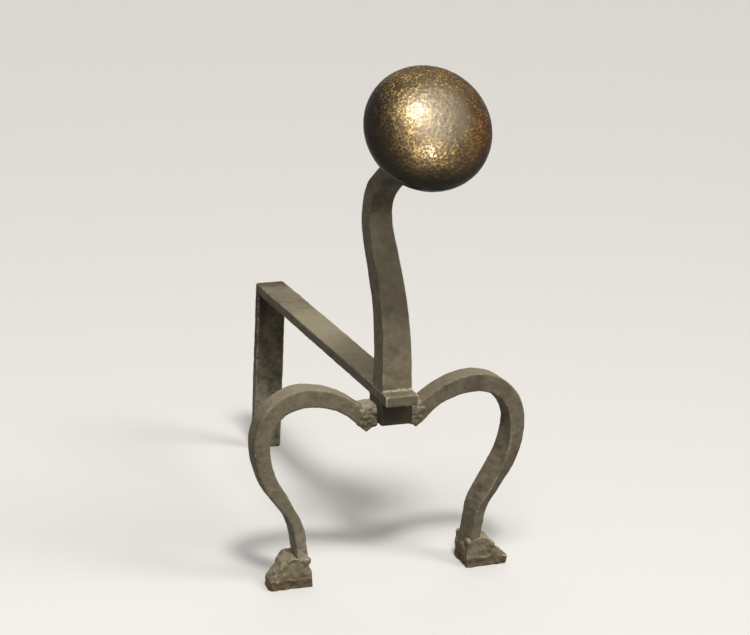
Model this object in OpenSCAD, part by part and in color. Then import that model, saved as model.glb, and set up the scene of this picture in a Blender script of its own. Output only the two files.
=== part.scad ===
// Wrought iron andiron with a hammered bun-shaped brass knob.
// Millimetres. X is across the hearth, +Y runs back into the fire, +Z is up.
// The origin is on the floor, under the middle of the andiron's width and of its whole depth.
// The pieces are drawn round the middle plane of the legs, and centred() slides them there.

/* [Log bar] */
// Height of the log bar's top face above the floor
bar_top = 165; // [150:1:200]
// Width of the log bar, a flat bar that lies on its wide face
bar_w = 27; // [20:0.5:32]
// Thickness of the log bar
bar_t = 9.5; // [7:0.5:12]
// How far the bar's rear corner lies behind the legs
bar_reach = 322; // [240:5:420]
// How far the bar's front end stands out past the stem's face
bar_nose = 12.5; // [6:0.5:20]
// How far the rear leg leans back on its way to the floor
rear_splay = 14; // [0:1:30]
// Radius on the outside of the bend above the rear leg
bend_outer_r = 3; // [2:0.5:9]
// Radius on the inside of that bend
bend_inner_r = 1.5; // [1:0.5:5]
// Bevel that the hammer left on the bar's front end
nose_bevel = 1.5; // [0.5:0.5:3]

/* [Stem] */
// Where the middle of the stem's foot stands, measured from the legs' middle plane
stem_y = -8; // [-10:0.5:0]
// Width of the stem at the log bar
stem_w_foot = 26; // [18:0.5:28]
// Width of the stem at the knob
stem_w_tip = 18; // [13:0.5:20]
// Thickness of the stem at the log bar
stem_t_foot = 25; // [20:0.5:28]
// Thickness of the stem at the knob
stem_t_tip = 12; // [12:0.5:16]
// Length of the upright start of the stem
stem_rise = 21; // [10:1:40]
// Radius of the long backward bow
bow_r = 124; // [90:1:160]
// Angle through which the bow leans back
bow_angle = 32; // [20:1:38]
// Length of the straight run above the bow
bow_run = 36; // [20:1:50]
// Radius of the crook that turns the stem forwards
crook_r = 33; // [28:1:45]
// Angle from upright at which the stem meets the knob
knob_lean = 55; // [45:1:62]
// Length of the straight neck below the knob
neck_run = 86; // [60:1:110]

/* [Knob] */
// Diameter of the knob across its seam
knob_d = 102; // [80:1:120]
// Thickness of the knob along its axis, before the seat is cut flat
knob_h = 64; // [50:1:90]
// Wall of the two hammered shells
knob_wall = 1.6; // [1:0.1:2.5]
// Diameter of the flat seat on the stem
seat_d = 22; // [20:0.5:26]
// Diameter of the threaded stud
stud_d = 8; // [6:0.5:9]
// Length of the stud inside the stem
stud_in_stem = 16; // [12:1:24]
// Diameter of the brass boss inside the knob
boss_d = 17; // [14:0.5:19]
// Length of that boss
boss_h = 16; // [12:1:20]

/* [Block] */
// Height of the block under the log bar
block_h = 19.5; // [16:0.5:24]
// How far the block's back stands behind the legs' middle plane
block_back = 9.5; // [8:0.5:16]

/* [Legs] */
// Depth of the leg bars, front to back
leg_depth = 19; // [16:0.5:24]
// Height from the log bar's underside down to the middle of each leg's end
leg_drop = 17; // [15:0.5:21]
// Slope of the leg's neck where it leaves the block
neck_slope = 38; // [30:1:44]
// Length of the straight neck
leg_neck_run = 15; // [12:1:25]
// Radius of the rise to the hump
shoulder_r = 66; // [50:1:80]
// Radius of the hump, from its crown to the widest place
hump_r = 37; // [32:1:42]
// Radius of the inward sweep below the widest place
calf_r = 76; // [60:1:90]
// Slant of the calf from upright
calf_lean = 33; // [24:1:36]
// Length of the straight calf
calf_run = 24; // [10:1:28]
// Radius of the reverse bend above the foot
ankle_r = 50; // [30:1:60]
// Slant of the ankle from upright
ankle_lean = 8; // [4:1:14]
// Thickness of the upset end at the block
end_t = 16; // [14:0.5:18]
// Thickness of the neck
neck_t = 13.5; // [11:0.5:16]
// Thickness at the crown of the hump
hump_t = 16; // [13:0.5:18]
// Thickness at the widest place
side_t = 14; // [11:0.5:16]
// Thickness at the top of the calf
calf_t = 13; // [10:0.5:15]
// Thickness of the drawn-down ankle
ankle_t = 10; // [8:0.5:12]
// Twist that the hammer left in the right calf, which turns its inner face to the front
calf_twist = 32; // [0:1:40]

/* [Feet] */
// Width of a foot, side to side
foot_w = 36; // [30:1:44]
// Height of a foot
foot_h = 26; // [22:1:32]
// Depth of a foot at the heel, under the ankle
foot_depth = 29; // [24:1:36]
// Depth of a foot at its toe
toe_depth = 16; // [12:1:24]
// How far a foot's front stands out past the leg's
foot_proud = 2; // [1:0.5:6]
// Thickness of the sole that lies on the floor
sole_t = 11; // [8:0.5:13]
// How far the rolled end is pressed into the sole
roll_sink = 2; // [1:0.5:4]
// How far the foot's inner face stands in from the ankle
heel_step = 2.5; // [2:0.5:5]
// How far the sole's toe stands out past the rolled end
toe_step = 3; // [1:0.5:6]
// Bevel along the toe
toe_bevel = 2; // [1:0.5:3]

/* [Welds] */
// Width of the filled gap between a leg's end and the block
weld_gap = 8; // [6:0.5:9]
// How far the flat top of that filling lies below the log bar's underside
saddle_drop = 5; // [4:0.5:6]
// Radius of the bead in front of each filled gap
bead_r = 4.6; // [4.2:0.1:5.5]
// Radius of the bead behind each filled gap
back_bead_r = 3.7; // [3:0.1:4]
// Radius of the beads along the stem's foot
stem_bead_r = 2.6; // [2:0.1:4.5]
// Radius of the beads between the block and the log bar
block_bead_r = 2.2; // [1.5:0.1:4]
// Radius of the beads in front of and behind each ankle
ankle_bead_r = 3.6; // [3.2:0.1:4]
// Radius of the bead beside each ankle
ankle_side_bead_r = 2.9; // [2.3:0.1:3]
// How far a bead stops short of each end of its seam
bead_inset = 1; // [0.5:0.5:3]
// Length of one ripple of a bead
ripple = 3.4; // [2.5:0.1:5]
// How far a bead's fuller ripples stand out
ripple_h = 0.5; // [0.2:0.1:0.8]

/* [Hidden] */
$fn = 48;

// Room round the stud, in the stem's bore and in the boss
thread_fit = 0.05;
// Steps along one bend, round one small corner or roll, and along the knob's half profile
bend_steps = 14;
corner_steps = 6;
roll_steps = 10;
dome_steps = 22;
// Overlap of a cutting tool past the face that it cuts
cut = 1;

bar_under = bar_top - bar_t;
stem_front = stem_y - stem_t_foot / 2;
stem_back = stem_y + stem_t_foot / 2;
block_bottom = bar_under - block_h;
leg_end_x = bar_w / 2 + weld_gap;
leg_half = leg_depth / 2;

// A bending schedule: each step is [length, turn]. A way point is [along, up, heading], with the
// heading in degrees from upright, and positive headings lean towards +along.
function bend(r, turn) = [r * abs(turn) * PI / 180, turn];
function advance(p, step, f) =
    let (mid = p[2] + step[1] * f / 2,
         half = step[1] * f * PI / 360,
         chord = step[0] * f * (abs(half) < 0.0001 ? 1 : sin(half * 180 / PI) / half))
    [p[0] + chord * sin(mid), p[1] + chord * cos(mid), p[2] + step[1] * f];
function stops(steps, start, i = 0) =
    i == len(steps) ? [start] : concat([start], stops(steps, advance(start, steps[i], 1), i + 1));
function length_to(steps, i) = i == 0 ? 0 : length_to(steps, i - 1) + steps[i - 1][0];

// The way points of a bar that follows the schedule. Its sizes are given at every stop as
// [thickness, twist], and they change evenly from one stop to the next.
function way(steps, start, sizes) =
    let (at = stops(steps, start))
    [for (i = [0 : len(steps) - 1])
        let (n = steps[i][1] == 0 ? 1 : bend_steps)
        for (k = [(i == 0 ? 0 : 1) : n])
            concat(advance(at[i], steps[i], k / n), sizes[i] + (sizes[i + 1] - sizes[i]) * k / n)];

// The two edges of a bar that isn't twisted, and its outline
function edge(path, side) =
    [for (p = path) [p[0] + side * p[3] / 2 * cos(p[2]), p[1] - side * p[3] / 2 * sin(p[2])]];
function ribbon(path) =
    let (near = edge(path, -1), far = edge(path, 1))
    concat(near, [for (i = [len(far) - 1 : -1 : 0]) far[i]]);
function arc(x, z, r, from, to, n) =
    [for (i = [0 : n]) let (a = from + (to - from) * i / n) [x + r * cos(a), z + r * sin(a)]];

// Corners of a bar's section at one way point, turned about the bar's own line by its twist
CORNERS = [[-1, -1], [1, -1], [1, 1], [-1, 1]];
function section(p, depth) =
    [for (c = CORNERS)
        let (across = c[0] * p[3] / 2,
             back = c[1] * depth / 2,
             u = across * cos(p[4]) + back * sin(p[4]),
             v = back * cos(p[4]) - across * sin(p[4]))
        [p[0] + u * cos(p[2]), v, p[1] - u * sin(p[2])]];

// A bar of the given depth swept along its way points, in the plane of X and Z
module swept(path, depth) {
    n = len(path);
    sides = [for (k = [0 : n - 2], c = [0 : 3])
        let (a = 4 * k + c,
             b = 4 * k + (c + 1) % 4)
        each [[a, a + 4, b + 4], [a, b + 4, b]]];
    polyhedron(points = [for (p = path) each section(p, depth)],
        faces = concat([[0, 1, 2, 3]], sides, [[4 * n - 1, 4 * n - 2, 4 * n - 3, 4 * n - 4]]));
}

// Stem, in the plane of Y and Z
stem_steps = [[stem_rise, 0], bend(bow_r, bow_angle), [bow_run, 0],
    bend(crook_r, -(bow_angle + knob_lean)), [neck_run, 0]];
stem_length = length_to(stem_steps, len(stem_steps));
stem_sizes = [for (i = [0 : len(stem_steps)])
    [stem_t_foot + (stem_t_tip - stem_t_foot) * length_to(stem_steps, i) / stem_length, 0]];
stem_start = [stem_y, bar_top, 0];
stem_path = way(stem_steps, stem_start, stem_sizes);
stem_tip = stem_path[len(stem_path) - 1];

// Right leg, in the plane of X and Z: it starts behind the end's cut and stops below the foot's top
leg_tail = end_t;
leg_start = [leg_end_x - leg_tail * cos(neck_slope), bar_under - leg_drop - leg_tail * sin(neck_slope),
    90 - neck_slope];
leg_bends = [[leg_tail, 0], [leg_neck_run, 0], bend(shoulder_r, neck_slope), bend(hump_r, 90),
    bend(calf_r, calf_lean), [calf_run, 0], bend(ankle_r, ankle_lean - calf_lean)];
ankle_top = stops(leg_bends, leg_start)[len(leg_bends)];
ankle_run = (ankle_top[1] - foot_h) / cos(ankle_lean);
leg_steps = concat(leg_bends, [[ankle_run + ankle_t, 0]]);
leg_thick = [end_t, end_t, neck_t, hump_t, side_t, calf_t, ankle_t, ankle_t, ankle_t];
// Share of a calf's twist at the widest place, at both ends of the calf and in the ankle
side_share = 0.2;
calf_share = 0.9;
ankle_share = 0.4;
leg_share = [0, 0, 0, 0, side_share, calf_share, 1, ankle_share, ankle_share];
function leg_path(twist) =
    way(leg_steps, leg_start, [for (i = [0 : len(leg_steps)]) [leg_thick[i], twist * leg_share[i]]]);

// The foot's place comes from the ankle where it meets the foot
ankle_x = ankle_top[0] - ankle_run * sin(ankle_lean);
ankle_half = ankle_t / 2 / cos(ankle_lean);
foot_x = ankle_x - ankle_half - heel_step;
roll_r = (foot_h - sole_t + roll_sink) / 2;

// Knob: each half is half of a flattened sphere, and the back one is cut flat for the seat
knob_r = knob_d / 2;
crown_h = knob_h / 2;
seat_r = seat_d / 2;
function dome(a, h, r) = h * sqrt(1 - r * r / (a * a));
seat_z = dome(knob_r, crown_h, seat_r);
inner_seat_z = dome(knob_r - knob_wall, crown_h - knob_wall, seat_r);

// The whole depth runs from the knob's foremost point to the rear leg's foot
knob_y = stem_tip[0] - seat_z * sin(knob_lean);
knob_front = knob_y - norm([knob_r * cos(knob_lean), crown_h * sin(knob_lean)]);
depth_mid = (knob_front + bar_reach + rear_splay) / 2;

// Slides a piece back to front, so that the origin lies under the middle of the whole depth
module centred() {
    translate([0, -depth_mid, 0])
        children();
}

// Puts a child drawn in X and Z into place with the given depth, centred on Y
module upright(depth) {
    rotate([90, 0, 0])
        linear_extrude(height = depth, center = true)
            children();
}

// Puts a child drawn in Y and Z into place with the given width, centred on X
module sideways(width) {
    rotate([90, 0, 90])
        linear_extrude(height = width, center = true)
            children();
}

module log_bar_solid() {
    nose_y = stem_front - bar_nose;
    lean = atan(rear_splay / bar_top);
    foot_back = bar_reach + rear_splay;
    foot_front = foot_back - bar_t / cos(lean);
    inner_y = foot_front - rear_splay * bar_under / bar_top;
    sideways(bar_w)
        polygon(concat(
            [[nose_y, bar_under + nose_bevel], [nose_y, bar_top - nose_bevel],
             [nose_y + nose_bevel, bar_top]],
            arc(bar_reach - bend_outer_r, bar_top - bend_outer_r, bend_outer_r, 90, lean, corner_steps),
            [[foot_back, 0], [foot_front, 0]],
            arc(inner_y - bend_inner_r, bar_under - bend_inner_r, bend_inner_r, lean, 90, corner_steps),
            [[nose_y + nose_bevel, bar_under]]));
}

// The stem's side view cut by its front view, so it narrows both ways
module stem_solid() {
    top = stem_tip[1] + stem_t_tip;
    w_top = stem_w_tip + (stem_w_tip - stem_w_foot) * stem_t_tip / (stem_tip[1] - bar_top);
    difference() {
        intersection() {
            sideways(stem_w_foot + 2 * cut)
                polygon(ribbon(stem_path));
            upright(2 * stem_length)
                polygon([[-stem_w_foot / 2, bar_top], [stem_w_foot / 2, bar_top],
                    [w_top / 2, top], [-w_top / 2, top]]);
        }
        on_knob_axis()
            translate([0, 0, -stud_in_stem])
                cylinder(d = stud_d + 2 * thread_fit, h = stud_in_stem + cut);
    }
}

// The frame of the knob: Z runs out of the stem's tip along the knob's axis
module on_knob_axis() {
    translate([0, stem_tip[0], stem_tip[1]])
        rotate([knob_lean, 0, 0])
            children();
}

module centre_block_solid() {
    sideways(bar_w)
        translate([stem_front, block_bottom])
            square([block_back - stem_front, block_h]);
}

// The bar is cut upright beside the block and level on top of the foot
module leg_solid(twist) {
    difference() {
        swept(leg_path(twist), leg_depth);
        translate([leg_end_x - 2 * leg_tail, -leg_depth, 0])
            cube([2 * leg_tail, 2 * leg_depth, bar_top]);
        translate([0, -leg_depth, 0])
            cube([foot_x + foot_w, 2 * leg_depth, foot_h]);
    }
}

// A foot is forged from one bar: a sole on the floor and the end rolled up over it, narrower
// towards the toe
module foot_solid() {
    roll_x = foot_w - toe_step - roll_r;
    crease = asin((foot_h - roll_r - sole_t) / roll_r);
    foot_front = -leg_half - foot_proud;
    translate([foot_x, 0, 0])
        intersection() {
            upright(2 * foot_depth)
                polygon(concat(
                    [[0, 0], [foot_w - toe_bevel, 0], [foot_w, toe_bevel], [foot_w, sole_t - toe_bevel],
                     [foot_w - toe_bevel, sole_t]],
                    arc(roll_x, foot_h - roll_r, roll_r, -crease, 90, roll_steps),
                    [[toe_bevel, foot_h], [0, foot_h - toe_bevel]]));
            linear_extrude(height = foot_h)
                polygon([[0, foot_front], [foot_w - toe_bevel, foot_front],
                    [foot_w, foot_front + toe_bevel], [foot_w, foot_front + toe_depth - toe_bevel],
                    [foot_w - toe_bevel, foot_front + toe_depth],
                    [ankle_half * 2 + heel_step, foot_front + foot_depth], [0, foot_front + foot_depth]]);
        }
}

// A bead along +Z, a round core with a fuller ring at every other ripple
module bead(length, r) {
    n = max(1, round(length / ripple));
    step = length / n;
    cylinder(r = r - ripple_h, h = length);
    for (i = [0 : 2 : n - 1])
        translate([0, 0, i * step])
            cylinder(r = r, h = step);
}

module bead_across(length, r) {
    translate([-length / 2, 0, 0])
        rotate([0, 90, 0])
            bead(length, r);
}

module bead_back(length, r) {
    translate([0, -length / 2, 0])
        rotate([-90, 0, 0])
            bead(length, r);
}

// Fills the gap between a leg's end and the block. Its underside slants up to the block, and its
// flat top runs out on the slope of the neck like a saddle.
module leg_weld_solid() {
    rise = end_t / cos(neck_slope) / 2;
    middle = bar_under - leg_drop;
    low = middle - rise;
    high = middle + rise;
    saddle_z = bar_under - saddle_drop;
    saddle_x = leg_end_x + (saddle_z - high) / tan(neck_slope);
    seam_x = bar_w / 2 + weld_gap / 2;
    bead_low = (low + block_bottom) / 2;
    difference() {
        union() {
            upright(leg_depth)
                polygon([[bar_w / 2, block_bottom], [leg_end_x, low], [saddle_x, saddle_z],
                    [bar_w / 2, saddle_z]]);
            translate([seam_x, -leg_half, bead_low])
                bead(saddle_z - bead_low, bead_r);
            translate([seam_x, leg_half, bead_low])
                bead(saddle_z - bead_low, back_bead_r);
        }
        leg_solid(0);
        centre_block_solid();
        log_bar_solid();
    }
}

// The straight ankle where it meets the foot
module ankle_solid(twist) {
    translate([ankle_x, 0, foot_h])
        rotate([0, ankle_top[2], 0])
            rotate([0, 0, -twist * ankle_share])
                cube([ankle_t, leg_depth, 2 * ankle_run], center = true);
}

module foot_weld_solid(twist) {
    difference() {
        translate([ankle_x, 0, foot_h])
            rotate([0, 0, twist * ankle_share]) {
                for (side = [-1, 1])
                    translate([0, side * leg_half, 0])
                        bead_across(2 * (ankle_half - bead_inset), ankle_bead_r);
                translate([ankle_half, 0, 0])
                    bead_back(leg_depth - 2 * bead_inset, ankle_side_bead_r);
            }
        ankle_solid(twist);
        foot_solid();
    }
}

module stem_weld_solid() {
    difference() {
        for (y = [stem_front, stem_back])
            translate([0, y, bar_top])
                bead_across(stem_w_foot - 2 * bead_inset, stem_bead_r);
        stem_solid();
        log_bar_solid();
    }
}

module block_weld_solid() {
    difference() {
        for (y = [stem_front, block_back])
            translate([0, y, bar_under])
                bead_across(bar_w - 2 * bead_inset, block_bead_r);
        centre_block_solid();
        log_bar_solid();
    }
}

// Half profiles of a shell, with the seam on the X axis and the crown on the Y axis. A profile
// that stops short of the crown is closed by the flat of the seat, bored for the stud.
function half_dome(a, h, r_min) =
    [for (i = [0 : dome_steps]) let (t = acos(r_min / a) * i / dome_steps) [a * cos(t), h * sin(t)]];

module shell_profile(r_outer, r_inner) {
    outer = half_dome(knob_r, crown_h, r_outer);
    inner = half_dome(knob_r - knob_wall, crown_h - knob_wall, r_inner);
    last = len(outer) - 1;
    flat_outer = r_outer == 0 ? [] : [[stud_d / 2 + thread_fit, outer[last][1]]];
    flat_inner = r_inner == 0 ? [] : [[stud_d / 2 + thread_fit, inner[last][1]]];
    polygon(concat(outer, flat_outer, flat_inner, [for (i = [last : -1 : 0]) inner[i]]));
}

module on_knob_seam() {
    on_knob_axis()
        translate([0, 0, seat_z])
            children();
}

module log_bar() {
    color("dimgray")
        centred()
            log_bar_solid();
}

module stem() {
    color("dimgray")
        centred()
            stem_solid();
}

module centre_block() {
    color("#3a352e")
        centred()
            centre_block_solid();
}

module right_leg() {
    color("dimgray")
        centred()
            leg_solid(calf_twist);
}

module left_leg() {
    color("dimgray")
        centred()
            mirror([1, 0, 0])
                leg_solid(0);
}

module right_foot() {
    color("#5c5040")
        centred()
            foot_solid();
}

module left_foot() {
    color("#5c5040")
        centred()
            mirror([1, 0, 0])
                foot_solid();
}

module knob_back_shell() {
    color("#7a5a28")
        centred()
            on_knob_seam()
                mirror([0, 0, 1])
                    rotate_extrude()
                        shell_profile(seat_r, seat_r);
}

module knob_front_shell() {
    color("#9a7434")
        centred()
            on_knob_seam()
                rotate_extrude()
                    shell_profile(0, 0);
}

module knob_boss() {
    color("#b08a3c")
        centred()
            on_knob_seam()
                translate([0, 0, -inner_seat_z])
                    difference() {
                        cylinder(d = boss_d, h = boss_h);
                        translate([0, 0, -cut])
                            cylinder(d = stud_d + 2 * thread_fit, h = boss_h + 2 * cut);
                    }
}

module knob_stud() {
    stud_top = seat_z - inner_seat_z + boss_h;
    color("gray")
        centred()
            on_knob_axis()
                translate([0, 0, -stud_in_stem])
                    cylinder(d = stud_d, h = stud_in_stem + stud_top);
}

module stem_weld() {
    color("#6b6250")
        centred()
            stem_weld_solid();
}

module block_weld() {
    color("#6b6250")
        centred()
            block_weld_solid();
}

module right_leg_weld() {
    color("#6b6250")
        centred()
            leg_weld_solid();
}

module left_leg_weld() {
    color("#6b6250")
        centred()
            mirror([1, 0, 0])
                leg_weld_solid();
}

module right_foot_weld() {
    color("#6b6250")
        centred()
            foot_weld_solid(calf_twist);
}

module left_foot_weld() {
    color("#6b6250")
        centred()
            mirror([1, 0, 0])
                foot_weld_solid(0);
}

log_bar();
stem();
centre_block();
left_leg();
right_leg();
left_foot();
right_foot();
knob_back_shell();
knob_front_shell();
knob_boss();
knob_stud();
stem_weld();
block_weld();
left_leg_weld();
right_leg_weld();
left_foot_weld();
right_foot_weld();
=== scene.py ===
import math
import random

import bpy
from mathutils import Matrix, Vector, kdtree


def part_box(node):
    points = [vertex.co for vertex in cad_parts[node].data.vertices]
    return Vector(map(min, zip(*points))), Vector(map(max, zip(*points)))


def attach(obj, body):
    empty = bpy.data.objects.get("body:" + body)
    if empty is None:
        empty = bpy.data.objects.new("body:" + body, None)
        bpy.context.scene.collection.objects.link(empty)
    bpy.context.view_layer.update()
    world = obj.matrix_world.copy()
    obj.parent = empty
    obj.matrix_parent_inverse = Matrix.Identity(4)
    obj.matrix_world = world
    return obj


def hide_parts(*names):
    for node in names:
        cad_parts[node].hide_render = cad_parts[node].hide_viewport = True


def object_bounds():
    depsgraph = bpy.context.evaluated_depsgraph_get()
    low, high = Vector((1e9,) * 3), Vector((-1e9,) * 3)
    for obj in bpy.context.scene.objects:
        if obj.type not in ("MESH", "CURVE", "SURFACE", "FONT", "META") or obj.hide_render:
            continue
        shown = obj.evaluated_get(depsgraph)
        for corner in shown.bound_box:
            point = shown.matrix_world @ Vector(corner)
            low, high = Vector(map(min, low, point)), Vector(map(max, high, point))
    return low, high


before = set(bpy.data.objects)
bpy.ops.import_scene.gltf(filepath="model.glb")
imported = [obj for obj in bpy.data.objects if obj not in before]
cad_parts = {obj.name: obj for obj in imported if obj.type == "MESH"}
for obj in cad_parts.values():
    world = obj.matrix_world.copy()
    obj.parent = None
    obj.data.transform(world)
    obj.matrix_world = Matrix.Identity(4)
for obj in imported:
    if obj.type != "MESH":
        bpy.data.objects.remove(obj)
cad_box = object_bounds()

MM = 0.001


# ---------------------------------------------------------------------------------------------
# Log bar: a flat bar of wrought iron that lies on its wide face and carries the logs. It is cut
# from 1 by 3/8 inch stock, and its rear end is bent down hot over the anvil's edge, so that it
# stands on the hearth as the rear leg. Its arrises are rounded and rubbed bright by the logs.

bar_low, bar_high = (Vector(corner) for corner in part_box("log_bar"))
BAR_W = bar_high.x - bar_low.x
BAR_T = 9.5 * MM
NOSE_FLARE = 1.07
NOSE_RUN = 18 * MM
REAR_SPLAY = 14 * MM
BAR_ARRIS = 1.1 * MM
# A skin is its mesh's grain, the depth of the hammer's waves and the depth of the scale's pits
BAR_SKIN = (0.9 * MM, 0.9 * MM, 0.3 * MM)

# The rust and dust of an iron that has stood by a fire for years. The black, the dust and the
# rubbed colour are also used as painted shade and painted light.
SCALE_BLACK_AND_SHADE = (0.045, 0.035, 0.022, 1)
IRON_BROWN = (0.165, 0.138, 0.090, 1)
OXIDE_GREY = (0.245, 0.212, 0.148, 1)
ASH_DUST_AND_LIGHT = (0.305, 0.262, 0.175, 1)
RUBBED_AND_LIT = (0.520, 0.470, 0.350, 1)
RUST = (0.125, 0.078, 0.043, 1)


def heading_vector(bend_axis, heading):
    """The way a bar runs at a heading in degrees from upright, in the plane that it bends in."""
    along, up = math.sin(math.radians(heading)), math.cos(math.radians(heading))
    return Vector((0, along, up)) if bend_axis == "X" else Vector((along, 0, up))


def turn_face(axis, degrees, centre):
    """Turns the selected face right-handed. With no window the operator turns the other way."""
    bpy.ops.transform.rotate(value=-math.radians(degrees), orient_axis=axis,
                             center_override=centre)


def reshape_face(bend_axis, centre, old, new):
    """Lays the selected face flat, changes its size, and sets it up again. A face is its heading,
    its width, its thickness and its twist."""
    hand = -1 if bend_axis == "X" else 1
    turn_face(bend_axis, -hand * old[0], centre)
    turn_face("Z", old[3], centre)
    wider, thicker = new[1] / old[1], new[2] / old[2]
    bpy.ops.transform.resize(
        value=(wider, thicker, 1) if bend_axis == "X" else (thicker, wider, 1),
        center_override=centre)
    turn_face("Z", -new[3], centre)
    turn_face(bend_axis, hand * new[0], centre)


def face_outwards(piece):
    """Turns every face of a piece outwards."""
    bpy.context.view_layer.objects.active = piece
    bpy.ops.object.mode_set(mode="EDIT")
    bpy.ops.mesh.select_all(action="SELECT")
    bpy.ops.mesh.normals_make_consistent(inside=False)
    bpy.ops.object.mode_set(mode="OBJECT")


# About how far a drawn bar turns, in degrees, and runs on between two rings of its mesh
RING_TURN = 6
RING_RUN = 8 * MM


def draw_out(name, bend_axis, start, heading, size, steps):
    """Draws a bar out from its first face, as a smith does. Each step is the length to go on, the
    angle to bend through, and the width, thickness and twist at the step's end. A step of no
    length is a sharp fold."""
    bpy.ops.object.select_all(action="DESELECT")
    bpy.ops.mesh.primitive_plane_add(size=1, location=start)
    bar = bpy.context.object
    bar.name = name
    bpy.ops.object.transform_apply(location=True, rotation=True, scale=True)
    bpy.ops.object.mode_set(mode="EDIT")
    bpy.ops.mesh.select_all(action="SELECT")
    centre = Vector(start)
    face = (heading, *size)
    reshape_face(bend_axis, centre, (0, 1, 1, 0), face)
    for length, turn, *end_size in steps:
        if length == 0:
            mitred_t = size[1] / math.cos(math.radians(turn / 2))
            mitre = (heading + turn / 2, size[0], mitred_t, size[2])
            reshape_face(bend_axis, centre, face, mitre)
            face = mitre
            heading += turn
            continue
        cuts = max(1, round(abs(turn) / RING_TURN), round(length / RING_RUN))
        for cut in range(cuts):
            half = math.radians(turn / cuts / 2)
            chord = length / cuts * (math.sin(half) / half if turn else 1)
            move = heading_vector(bend_axis, heading + turn / cuts / 2) * chord
            bpy.ops.mesh.extrude_region_move(TRANSFORM_OT_translate={"value": move})
            centre = centre + move
            heading += turn / cuts
            share = (cut + 1) / cuts
            grown = (old + (new - old) * share for old, new in zip(size, end_size))
            new_face = (heading, *grown)
            reshape_face(bend_axis, centre, face, new_face)
            face = new_face
        size = end_size
    bpy.ops.object.mode_set(mode="OBJECT")
    face_outwards(bar)
    return bar


def cut_off(piece, place, keep):
    """Cuts a piece through at a place, square to keep, and leaves the side that keep points to."""
    bpy.context.view_layer.objects.active = piece
    bpy.ops.object.mode_set(mode="EDIT")
    bpy.ops.mesh.select_all(action="SELECT")
    bpy.ops.mesh.bisect(plane_co=place, plane_no=keep, use_fill=True, clear_inner=True)
    bpy.ops.object.mode_set(mode="OBJECT")


def apply_modifier(piece, kind, **settings):
    """Adds one modifier with these settings and applies it."""
    modifier = piece.modifiers.new(kind.title(), kind)
    for key, value in settings.items():
        setattr(modifier, key, value)
    bpy.context.view_layer.objects.active = piece
    bpy.ops.object.modifier_apply(modifier=modifier.name)


def remesh(piece, grain, passes):
    """Gives a piece an even mesh of this grain, softened by passes of smoothing."""
    apply_modifier(piece, "REMESH", mode="VOXEL", voxel_size=grain, use_smooth_shade=True)
    apply_modifier(piece, "SMOOTH", factor=0.5, iterations=passes)


def displace(piece, texture, depth, sunk=0.5):
    """Works a texture into a surface. Sunk is the share of its depth that goes inwards."""
    apply_modifier(piece, "DISPLACE", texture=texture, texture_coords="LOCAL", strength=depth,
                   mid_level=sunk)


def clouds(name, size, depth=2):
    """A lumpy noise for Displace, with lumps of about this size."""
    texture = bpy.data.textures.new(name, "CLOUDS")
    texture.noise_scale = size
    texture.noise_depth = depth
    return texture


HAMMER_WAVES = clouds("hammer waves", 16 * MM)
SCALE_PITS = clouds("scale pits", 2.6 * MM, 3)
PITS_SUNK = 0.7
SKIN_PASSES = 3
RELIEF_PASSES = 10
ARRIS_ANGLE = math.radians(40)


def keep_relief(piece):
    """Stores how far each point stands above or below its smoothed surroundings, in metres, for
    the finish, and keeps the skin within the size of the whole andiron."""
    low, high = cad_box
    for vertex in piece.data.vertices:
        vertex.co = [min(max(value, least), most)
                     for value, least, most in zip(vertex.co, low, high)]
    forged = [vertex.co.copy() for vertex in piece.data.vertices]
    apply_modifier(piece, "SMOOTH", factor=0.5, iterations=RELIEF_PASSES)
    stands = [(place - vertex.co).dot(vertex.normal)
              for vertex, place in zip(piece.data.vertices, forged)]
    piece.data.attributes.new("relief", "FLOAT", "POINT").data.foreach_set("value", stands)
    piece.data.vertices.foreach_set("co", [value for place in forged for value in place])
    piece.data.update()


def hammer_surface(piece, grain, waves, pits):
    """Gives a bar its forged skin: an even mesh, softened, and worked over by the hammer."""
    remesh(piece, grain, SKIN_PASSES)
    displace(piece, HAMMER_WAVES, waves)
    displace(piece, SCALE_PITS, pits, PITS_SUNK)
    keep_relief(piece)


def round_arrises(piece, width):
    """Bevels every sharp edge, as wear and the hammer round an arris."""
    apply_modifier(piece, "BEVEL", width=width, segments=3, limit_method="ANGLE",
                   angle_limit=ARRIS_ANGLE)


def plug(tree, socket, source):
    """Links a socket to another's output, or sets it to a plain value."""
    if isinstance(source, bpy.types.NodeSocket):
        tree.links.new(source, socket)
    else:
        socket.default_value = source


def noise(tree, scale, detail=4.0, roughness=0.55, distortion=0.0):
    """Noise on the piece's own coordinates. The scale is in lumps per metre."""
    place = tree.nodes.new("ShaderNodeTexCoord")
    texture = tree.nodes.new("ShaderNodeTexNoise")
    tree.links.new(place.outputs["Object"], texture.inputs["Vector"])
    for key, value in (("Scale", scale), ("Detail", detail), ("Roughness", roughness),
                       ("Distortion", distortion)):
        texture.inputs[key].default_value = value
    return texture.outputs["Fac"]


def between(tree, value, low, high, bottom=0.0, top=1.0):
    """0 where the value is under low and 1 where it is over high, or bottom and top."""
    scale = tree.nodes.new("ShaderNodeMapRange")
    scale.interpolation_type = "SMOOTHSTEP"
    plug(tree, scale.inputs["Value"], value)
    for key, number in (("From Min", low), ("From Max", high), ("To Min", bottom),
                        ("To Max", top)):
        scale.inputs[key].default_value = number
    return scale.outputs["Result"]


def times(tree, first, second):
    """The product of two values."""
    math_node = tree.nodes.new("ShaderNodeMath")
    math_node.operation = "MULTIPLY"
    plug(tree, math_node.inputs[0], first)
    plug(tree, math_node.inputs[1], second)
    return math_node.outputs[0]


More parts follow.
